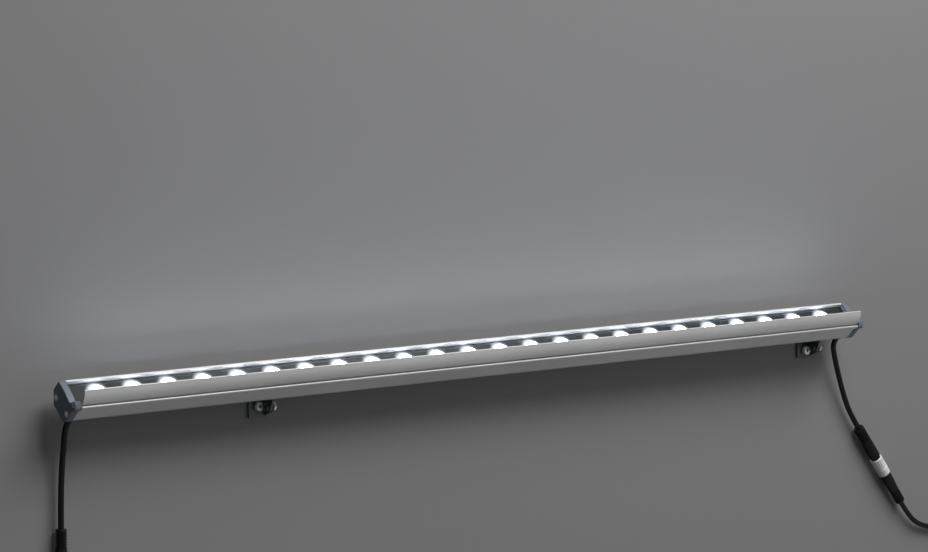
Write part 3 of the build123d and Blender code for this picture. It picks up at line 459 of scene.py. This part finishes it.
def phosphor():
    # To the eye: the yellow window of a white LED, seen when a lens is taken off.
    material, tree, bsdf = shader("led_phosphor", Roughness=0.45, Emission_Strength=2.0)
    dots = grain(tree, 0.15, 2.0)
    tree.links.new(tones(tree, dots, (0.3, "F3DE7A"), (0.7, "FBEFA8")), bsdf.inputs["Base Color"])
    tree.links.new(tones(tree, dots, (0.3, "FFF3D0"), (0.7, "FFFBEC")),
                   bsdf.inputs["Emission Color"])
    return material


PLASTIC["lens"] = lit_lens()
PLASTIC["phosphor"] = phosphor()
print("plastics:", [m.name for m in PLASTIC.values()])

# %% [markdown]
# ## Dressing the machined nodes
#
# The machined pieces already have their true shape from the CAD, so they are dressed and
# not remade. Each one takes a finish. Real edges are never knife sharp, and the thin line of
# light on them is what makes metal look solid. The rounding could be cut in the CAD, but
# there it would cost many faces, so a small Bevel modifier rounds them and the CAD mesh
# stays as it is.

# %% Which finish each node takes
DRESS = {
    METAL["extrusion"]: ["housing", "visor"],
    METAL["cast"]: ["end_cap_left", "end_cap_right"],
    METAL["steel"]: ["cap_screws", "visor_screws", "wall_screws", "tilt_nuts", "board_screws",
                     "slot_screws", "slot_nuts"],
    METAL["coated"]: ["foot_left", "foot_right", "lug_left", "lug_right", "tilt_bolts",
                      "wall_washers"],
    METAL["brass"]: ["pins_right"],
    PLASTIC["gasket"]: ["end_gasket_left", "end_gasket_right"],
    PLASTIC["seal"]: ["seal_left", "seal_right"],
    PLASTIC["board"]: ["led_board_left", "led_board_right"],
    PLASTIC["white"]: ["board_link", "terminals", "coupling_nut_left", "coupling_nut_right"],
    PLASTIC["black"]: ["driver_chips", "visor_washers", "tilt_washers", "gland_left",
                       "gland_right", "gland_nuts", "insert_left", "insert_right", "coil_tie"],
    PLASTIC["plug"]: ["plug_left", "plug_right", "supply_plug"],
    PLASTIC["resin"]: ["potting"],
    PLASTIC["red"]: ["wires_left", "wires_right"],
    PLASTIC["tinned"]: ["supply_cores"],
}
print("finishes in use:", len(DRESS))

# %% Bevels and painting
BEVEL_MM = {
    "housing": 0.3, "visor": 0.25, "end_cap_left": 0.25, "end_cap_right": 0.25,
    "foot_left": 0.35, "foot_right": 0.35, "lug_left": 0.3, "lug_right": 0.3,
    "wall_screws": 0.25, "wall_washers": 0.15, "tilt_bolts": 0.25, "tilt_nuts": 0.25,
    "slot_screws": 0.2, "visor_screws": 0.2, "cap_screws": 0.2, "plug_left": 0.2,
    "plug_right": 0.2, "supply_plug": 0.2, "coupling_nut_left": 0.2, "coupling_nut_right": 0.2,
    "gland_left": 0.2, "gland_right": 0.2, "coil_tie": 0.15,
}


def paint(obj, material):
    obj.data.materials.clear()
    obj.data.materials.append(material)


def soften(obj, width_mm):
    bevel = obj.modifiers.new("edge", "BEVEL")
    bevel.width = width_mm * MM
    bevel.segments = 2
    bevel.limit_method = "ANGLE"
    bevel.angle_limit = radians(35)
    bevel.use_clamp_overlap = True
    bevel.harden_normals = True


for material, names in DRESS.items():
    for name in names:
        paint(nodes[name], material)
for name, width in BEVEL_MM.items():
    soften(nodes[name], width)
print("dressed", sum(len(names) for names in DRESS.values()), "nodes")

# %% [markdown]
# ## Lathed masters
#
# A lens like this is round all over: a domed face, a conical body that gathers the light, and a
# flange that sits in the cup. Its cup is round too, and so is the small meniscus of resin
# that climbs it. They could be spheres and cylinders joined together, but one profile spun
# round the Z axis gives the right dome and flange in one closed skin. Each is modelled once,
# with the board at height 0, and later set along the bar.

# %% A lathe for round pieces
def lathe(name, profile, steps=48):
    """Closed surface of revolution from (radius, height) points in millimetres."""
    mesh = bmesh.new()
    rings = []
    for radius, height in profile:
        if radius < 1e-6:
            rings.append([mesh.verts.new((0, 0, height * MM))])
            continue
        rings.append([mesh.verts.new((radius * MM * cos(2 * pi * k / steps),
                                      radius * MM * sin(2 * pi * k / steps), height * MM))
                      for k in range(steps)])
    for lower, upper in zip(rings, rings[1:]):
        for k in range(steps):
            corners = [lower[k % len(lower)], lower[(k + 1) % len(lower)],
                       upper[(k + 1) % len(upper)], upper[k % len(upper)]]
            corners = list(dict.fromkeys(corners))
            if len(corners) > 2:
                mesh.faces.new(corners)
    if profile[0] == profile[-1]:
        bmesh.ops.remove_doubles(mesh, verts=mesh.verts, dist=1e-7)
    bmesh.ops.recalc_face_normals(mesh, faces=mesh.faces)
    for face in mesh.faces:
        face.smooth = True
    data = bpy.data.meshes.new(name)
    mesh.to_mesh(data)
    mesh.free()
    obj = bpy.data.objects.new(name, data)
    scene.collection.objects.link(obj)
    return obj


print("lathe() spins a profile in 48 steps")

# %% Lens, cup and meniscus
def crown(radius):
    """Height of the domed lens face at a radius."""
    sphere = (LENS_RADIUS ** 2 + LENS_BULGE ** 2) / (2 * LENS_BULGE)
    return CUP_DEPTH + LENS_BULGE - sphere + sqrt(sphere ** 2 - radius ** 2)


face = [(r, crown(r)) for r in (0, 1, 2, 3, 4, 5, 6, 7, 7.8, 8.5)]
lens_master = lathe("lens_master", [(0, 1.7), (1.6, 1.6), (3.1, 1.62), (3.2, 1.72),
                                    (5.8, 4.2), (8.3, 6.3), (8.4, 6.4), (8.9, 6.42),
                                    (9.0, 6.5), (9.0, 7.5), (8.9, 7.62)] + face[::-1])
cup_master = lathe("cup_master", [(3.5, 0.02), (5.3, 0.02), (5.5, 0.3), (9.48, 4.1), (9.55, 4.3),
                                  (9.55, 7.2), (9.48, 7.3), (9.12, 7.3), (9.05, 7.22),
                                  (9.05, 6.36), (8.7, 6.34), (6.0, 4.1), (3.5, 1.6), (3.5, 0.02)])
meniscus_master = lathe("meniscus_master", [
    (CUP_RADIUS + out, RESIN_HEIGHT + up) for out, up in (
        (0.03, -0.05), (1.0, -0.05), (1.0, 0.0), (0.55, 0.03), (0.25, 0.13), (0.1, 0.3),
        (0.03, 0.55), (0.03, -0.05))])
print("lens faces:", len(lens_master.data.polygons))

# %% [markdown]
# ## The LED chip
#
# The chip is a small white package, 3.45 mm square, with a dished window of phosphor. It is
# not round, so it is cut from a block: inset, inset again and pushed down, with its corners
# bevelled. The window takes a material of its own by its face index.

# %% The LED chip
def chip():
    mesh = bmesh.new()
    base = bmesh.ops.create_cube(mesh, size=1.0)["verts"]
    for vertex in base:
        vertex.co = Vector((vertex.co.x * CHIP_SIDE * MM, vertex.co.y * CHIP_SIDE * MM,
                            (vertex.co.z + 0.5) * CHIP_HEIGHT * MM))
    top = [f for f in mesh.faces if f.normal.z > 0.9]
    bmesh.ops.inset_region(mesh, faces=top, thickness=0.35 * MM)
    bmesh.ops.inset_region(mesh, faces=top, thickness=0.12 * MM, depth=-0.25 * MM)
    for window in top:
        window.material_index = 1
    upright = [e for e in mesh.edges if abs(e.verts[0].co.z - e.verts[1].co.z) > 0.5 * MM]
    bmesh.ops.bevel(mesh, geom=upright, offset=0.2 * MM, segments=2, affect="EDGES")
    data = bpy.data.meshes.new("chip_master")
    mesh.to_mesh(data)
    mesh.free()
    data.materials.append(PLASTIC["white"])
    data.materials.append(PLASTIC["phosphor"])
    obj = bpy.data.objects.new("chip_master", data)
    scene.collection.objects.link(obj)
    return obj


chip_master = chip()
print("chip faces:", len(chip_master.data.polygons))

# %% [markdown]
# ## A row grown with Geometry Nodes
#
# On the real bar the same lens, cup and chip sit 24 times in a row. Copies could be placed
# in a loop, or with an Array modifier, but neither turns each copy a little by itself. One
# node group does it all: a mesh line gives the stations, every instance is tipped to face
# out of the bar, and a seeded roll turns each one on its own axis a little, as hands would
# leave them. The result is realized and baked to a plain mesh.

# %% The row's node group
def row_group():
    group = bpy.data.node_groups.new("row_along_bar", "GeometryNodeTree")
    made = group.interface.new_socket
    for name, kind, default in (
            ("Piece", "NodeSocketObject", None), ("Count", "NodeSocketInt", LED_COUNT),
            ("Start", "NodeSocketVector", (0, 0, 0)), ("Step", "NodeSocketVector", (0.04, 0, 0)),
            ("Tip", "NodeSocketVector", (0, 0, 0)), ("Roll", "NodeSocketFloat", 0.0),
            ("Seed", "NodeSocketInt", 7), ("Finish", "NodeSocketMaterial", None),
            ("Repaint", "NodeSocketBool", True)):
        socket = made(name=name, in_out="INPUT", socket_type=kind)
        if default is not None:
            socket.default_value = default
    made(name="Geometry", in_out="OUTPUT", socket_type="NodeSocketGeometry")
    given = add(group, "NodeGroupInput").outputs
    line = add(group, "GeometryNodeMeshLine", {
        "Count": given["Count"], "Start Location": given["Start"], "Offset": given["Step"]},
        mode="OFFSET")
    piece = add(group, "GeometryNodeObjectInfo", {
        "Object": given["Piece"], "As Instance": True})
    tipped = add(group, "GeometryNodeInstanceOnPoints", {
        "Points": line.outputs["Mesh"], "Instance": piece.outputs["Geometry"],
        "Rotation": given["Tip"]})
    back = add(group, "ShaderNodeMath", {0: given["Roll"], 1: -1.0}, operation="MULTIPLY")
    roll = add(group, "FunctionNodeRandomValue", {
        "Min": back.outputs[0], "Max": given["Roll"], "Seed": given["Seed"]}, data_type="FLOAT")
    turn = add(group, "ShaderNodeCombineXYZ", {"Z": roll.outputs[1]})
    rolled = add(group, "GeometryNodeRotateInstances", {
        "Instances": tipped.outputs["Instances"], "Rotation": turn.outputs["Vector"],
        "Local Space": True})
    real = add(group, "GeometryNodeRealizeInstances", {"Geometry": rolled.outputs["Instances"]})
    painted = add(group, "GeometryNodeSetMaterial", {
        "Geometry": real.outputs["Geometry"], "Selection": given["Repaint"],
        "Material": given["Finish"]})
    out = add(group, "NodeGroupOutput")
    group.links.new(painted.outputs["Geometry"], out.inputs["Geometry"])
    return group


rows = row_group()
print("row group has", len(rows.nodes), "nodes")

# %% Baking a row to a plain mesh
def grow(name, group, body, **inputs):
    """Runs a node group on an empty host and keeps the result as a plain mesh."""
    host = bpy.data.objects.new(name + "_host", bpy.data.meshes.new(name + "_host"))
    scene.collection.objects.link(host)
    modifier = host.modifiers.new("grow", "NODES")
    modifier.node_group = group
    for item in group.interface.items_tree:
        if item.item_type == "SOCKET" and item.in_out == "INPUT" and item.name in inputs:
            modifier[item.identifier] = inputs[item.name]
    graph = bpy.context.evaluated_depsgraph_get()
    mesh = bpy.data.meshes.new_from_object(host.evaluated_get(graph), depsgraph=graph)
    mesh.name = name
    bpy.data.objects.remove(host)
    obj = bpy.data.objects.new(name, mesh)
    scene.collection.objects.link(obj)
    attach(obj, body)
    return obj


print("grow() bakes one row to one plain mesh")

# %% Lenses, cups, chips and menisci
stations = dict(Count=LED_COUNT, Start=tuple(first_led), Step=(LED_PITCH * MM, 0.0, 0.0),
                Tip=(TILT, 0.0, 0.0))
lenses = grow("lens_row", rows, "head", Piece=lens_master, Finish=PLASTIC["lens"],
              Roll=0.06, Seed=3, **stations)
cups = grow("cup_row", rows, "head", Piece=cup_master, Finish=PLASTIC["white"],
            Roll=0.06, Seed=3, **stations)
chips = grow("chip_row", rows, "head", Piece=chip_master, Repaint=False, **stations)
grow("resin_meniscus", rows, "head", Piece=meniscus_master, Finish=PLASTIC["resin"],
     Roll=0.5, Seed=5, **stations)
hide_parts("lenses")
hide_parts("lens_cups")
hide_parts("led_chips")
for master in (lens_master, cup_master, meniscus_master, chip_master):
    bpy.data.objects.remove(master)
print("lens row:", len(lenses.data.polygons), "faces")

# %% [markdown]
# ## The leads
#
# A lead is a fixed length of something flexible. It leaves its gland straight, then gravity
# takes it down along the wall to its plug. It could be swept along straight runs and arcs,
# but that looks like bent wire. So each lead is one NURBS spline with the same control
# points as its solid, because such a curve changes its bend as softly as a cable does.

# %% A cable from control points
def cord_curve(name, points_mm, diameter_mm, material):
    data = bpy.data.curves.new(name, "CURVE")
    data.dimensions = "3D"
    data.bevel_depth = diameter_mm / 2 * MM
    data.bevel_resolution = 6
    data.resolution_u = 12
    data.use_fill_caps = True
    spline = data.splines.new("NURBS")
    spline.points.add(len(points_mm) - 1)
    for point, place_mm in zip(spline.points, points_mm):
        point.co = (*(c * MM for c in place_mm), 1.0)
    spline.order_u = 3
    spline.use_endpoint_u = True
    data.materials.append(material)
    obj = bpy.data.objects.new(name, data)
    scene.collection.objects.link(obj)
    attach(obj, "head")
    return obj


print("cables ride on the head")

# %% [markdown]
# ## Routes and the put-away coil
#
# The supply lead runs out of the picture. Its unseen length is put away as for storage, in
# a flat coil on the wall. A spiral would need many points; half turns whose radius steps in
# by half a pitch give the same coil, and they go on from the lead in the same spline.

# %% Routes and the put-away coil
LEAD_LEFT = [(-588.0, -22.566, 12.493), (-588.0, -15.1, 5.0), (-588.0, -12.0, -14.0),
             (-588.0, -8.6, -36.0), (-588.0, -6.6, -64.0), (-588.0, -6.6, -90.3)]
LEAD_RIGHT = [(388.0, -22.566, 12.493), (388.0, -15.1, 5.0), (394.6, -11.5, -10.0),
              (403.2, -9.5, -32.0), (413.4, -8.0, -56.0), (423.9, -7.0, -74.7),
              (435.8, -7.0, -90.3)]
SUPPLY = [(500.8, -7.0, -175.6), (509.9, -7.0, -187.5), (524.5, -5.4, -200.5),
          (543.5, -4.2, -208.0), (565.0, -3.6, -211.5), (588.0, -3.6, -211.5)]
COIL_RADIUS, COIL_PITCH, HALF_TURNS, PER_HALF = 36.0, 6.4, 6, 8
LEAD_DIAMETER, SUPPLY_DIAMETER = 5.6, 5.2
COIL_END = 5.2           # straight end of the coil, where the tinned cores come out


def coil_points(start):
    """Control points of the coil: half turns in the wall's plane, each tighter than the last."""
    points, height = [], 0.0
    for k in range(HALF_TURNS):
        radius = COIL_RADIUS - k * COIL_PITCH / 2
        sign = 1 if k % 2 == 0 else -1
        centre = height - sign * radius
        for j in range(PER_HALF):
            angle = pi / 2 * sign - pi * (j + 0.5) / PER_HALF
            reach = radius / cos(pi / PER_HALF / 2)
            points.append((start[0] + reach * cos(angle), start[1], start[2] + centre
                           + reach * sin(angle)))
        height = centre - sign * radius
    points.append((start[0] + COIL_END, start[1], start[2] + height))
    return points


print("coil points:", len(coil_points(SUPPLY[-1])))

# %% The three leads
lead_left = cord_curve("lead_left_cable", LEAD_LEFT, LEAD_DIAMETER, PLASTIC["jacket"])
lead_right = cord_curve("lead_right_cable", LEAD_RIGHT, LEAD_DIAMETER, PLASTIC["jacket"])
supply = cord_curve("supply_cable", SUPPLY + coil_points(SUPPLY[-1]), SUPPLY_DIAMETER,
                    PLASTIC["jacket"])
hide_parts("lead_left")
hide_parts("lead_right")
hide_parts("supply_lead", "supply_coil")

print("cables stand for the CAD leads")

# %% [markdown]
# ## The supply cord's points
#
# A cord is more than its shape: anyone who uses the part needs its real length, where it
# leaves the object, how stiff it is and what hangs on its end. This cell only counts the
# points of the supply cord's spline.

print("supply spline points:", len(supply.data.splines[0].points))

# %% [markdown]
# ## Wall, floor and light
#
# The light hangs on a wall, so a plain grey wall stands behind the feet and a pale floor
# lies below. Planes so near would also throw a lot of light back and flatten the bar. Light
# Path can tell the rays that show a surface from those that only carry its light, so each
# plane looks as pale as it should and bounces less.

# %% Which rays show a surface
def seen_ray(tree):
    """Two sockets: 1 for rays that show a surface, straight, reflected or through glass, and
    1 for shadow rays."""
    path = add(tree, "ShaderNodeLightPath").outputs
    seen = path["Is Camera Ray"]
    for kind in ("Is Glossy Ray", "Is Transmission Ray"):
        seen = add(tree, "ShaderNodeMath", {0: seen, 1: path[kind]},
                   operation="MAXIMUM").outputs["Value"]
    return seen, path["Is Shadow Ray"]


print("seen rays: camera, glossy and transmission")

# %% [markdown]
# A wall also hides the object from behind, and the back of a part is looked at as well. The
# wall could be left out, but then its shadow, which shows how far the bar stands off, would
# go too. So the wall is one-way: solid from the front, clear from the back and to lamps.

# %% Wall and floor
def stage_plane(name, corners, code, bounce, one_way=False):
    data = bpy.data.meshes.new(name)
    data.from_pydata(corners, [], [(0, 1, 2, 3)])
    obj = bpy.data.objects.new(name, data)
    scene.collection.objects.link(obj)
    material, tree, bsdf = shader(name + "_paint", Roughness=0.85)
    seen, shadow = seen_ray(tree)
    mixed = add(tree, "ShaderNodeMix", {"Factor": seen, "A": srgb(bounce), "B": srgb(code)},
                data_type="RGBA")
    tree.links.new(mixed.outputs["Result"], bsdf.inputs["Base Color"])
    if one_way:
        behind = add(tree, "ShaderNodeNewGeometry").outputs["Backfacing"]
        open_to = add(tree, "ShaderNodeMath", {0: behind, 1: shadow}, operation="MAXIMUM")
        cut = add(tree, "ShaderNodeMixShader", {
            0: open_to.outputs["Value"], 1: bsdf.outputs["BSDF"],
            2: add(tree, "ShaderNodeBsdfTransparent").outputs["BSDF"]})
        tree.links.new(cut.outputs["Shader"], tree.nodes["Material Output"].inputs["Surface"])
    data.materials.append(material)
    return obj


REACH, FLOOR_Z, WALL_TOP = 6, -0.45, 5
WALL_Y = 0.0005          # half a millimetre behind the feet
wall = stage_plane("wall", [(-REACH, WALL_Y, FLOOR_Z), (REACH, WALL_Y, FLOOR_Z),
                            (REACH, WALL_Y, WALL_TOP), (-REACH, WALL_Y, WALL_TOP)],
                   "7C7C7D", "565656", one_way=True)
floor = stage_plane("floor", [(-REACH, -REACH, FLOOR_Z), (REACH, -REACH, FLOOR_Z),
                              (REACH, REACH, FLOOR_Z), (-REACH, REACH, FLOOR_Z)],
                    "D6D6D6", "3C3C3C")


print("stage:", wall.name, floor.name)

# %% [markdown]
# ## Lamps and world
#
# In the picture the visor fades from light at its top edge to dark at its base. An even sky
# would hide that, so one broad strong lamp stands above and in front. Weak ones fill the
# right end and the left cap, and one behind the wall lights only what faces away from the
# camera. The world only gives the shadows some air.

# %% Soft lamps
def soft_lamp(name, position, target, size, power):
    data = bpy.data.lights.new(name, "AREA")
    data.shape = "RECTANGLE"
    data.size, data.size_y = size
    data.energy = power
    obj = bpy.data.objects.new(name, data)
    scene.collection.objects.link(obj)
    obj.location = position
    direction = Vector(target) - Vector(position)
    obj.rotation_euler = direction.to_track_quat("-Z", "Y").to_euler()
    return obj


soft_lamp("key_above", (0.5, -1.3, 1.9), (-0.1, 0, 0), (2.4, 0.9), 68)
soft_lamp("front_right", (2.2, -2.6, 1.0), (-0.1, 0, 0), (1.6, 1.2), 9)
soft_lamp("glint_right", (2.1, -2.6, -0.2), (0, 0, 0), (0.7, 0.6), 4)
soft_lamp("fill_left", (-2.6, -1.8, 0.5), (-0.1, 0, 0), (1.4, 1.4), 3)
soft_lamp("back_fill", (1.2, 2.2, 1.5), (-0.1, 0, 0), (2.2, 1.4), 30)

# %% World and view
SKY_LIGHT, SKY_SEEN = 0.12, 0.3            # strength as light, and as background
world = bpy.data.worlds.new("studio")
world.use_nodes = True
sky = world.node_tree.nodes["Background"]
sky.inputs["Color"].default_value = srgb("ECEDEF")
level = add(world.node_tree, "ShaderNodeMapRange", {
    "Value": seen_ray(world.node_tree)[0], "To Min": SKY_LIGHT, "To Max": SKY_SEEN})
world.node_tree.links.new(level.outputs["Result"], sky.inputs["Strength"])
scene.world = world
scene.view_settings.view_transform = "Standard"
print("view transform:", scene.view_settings.view_transform)
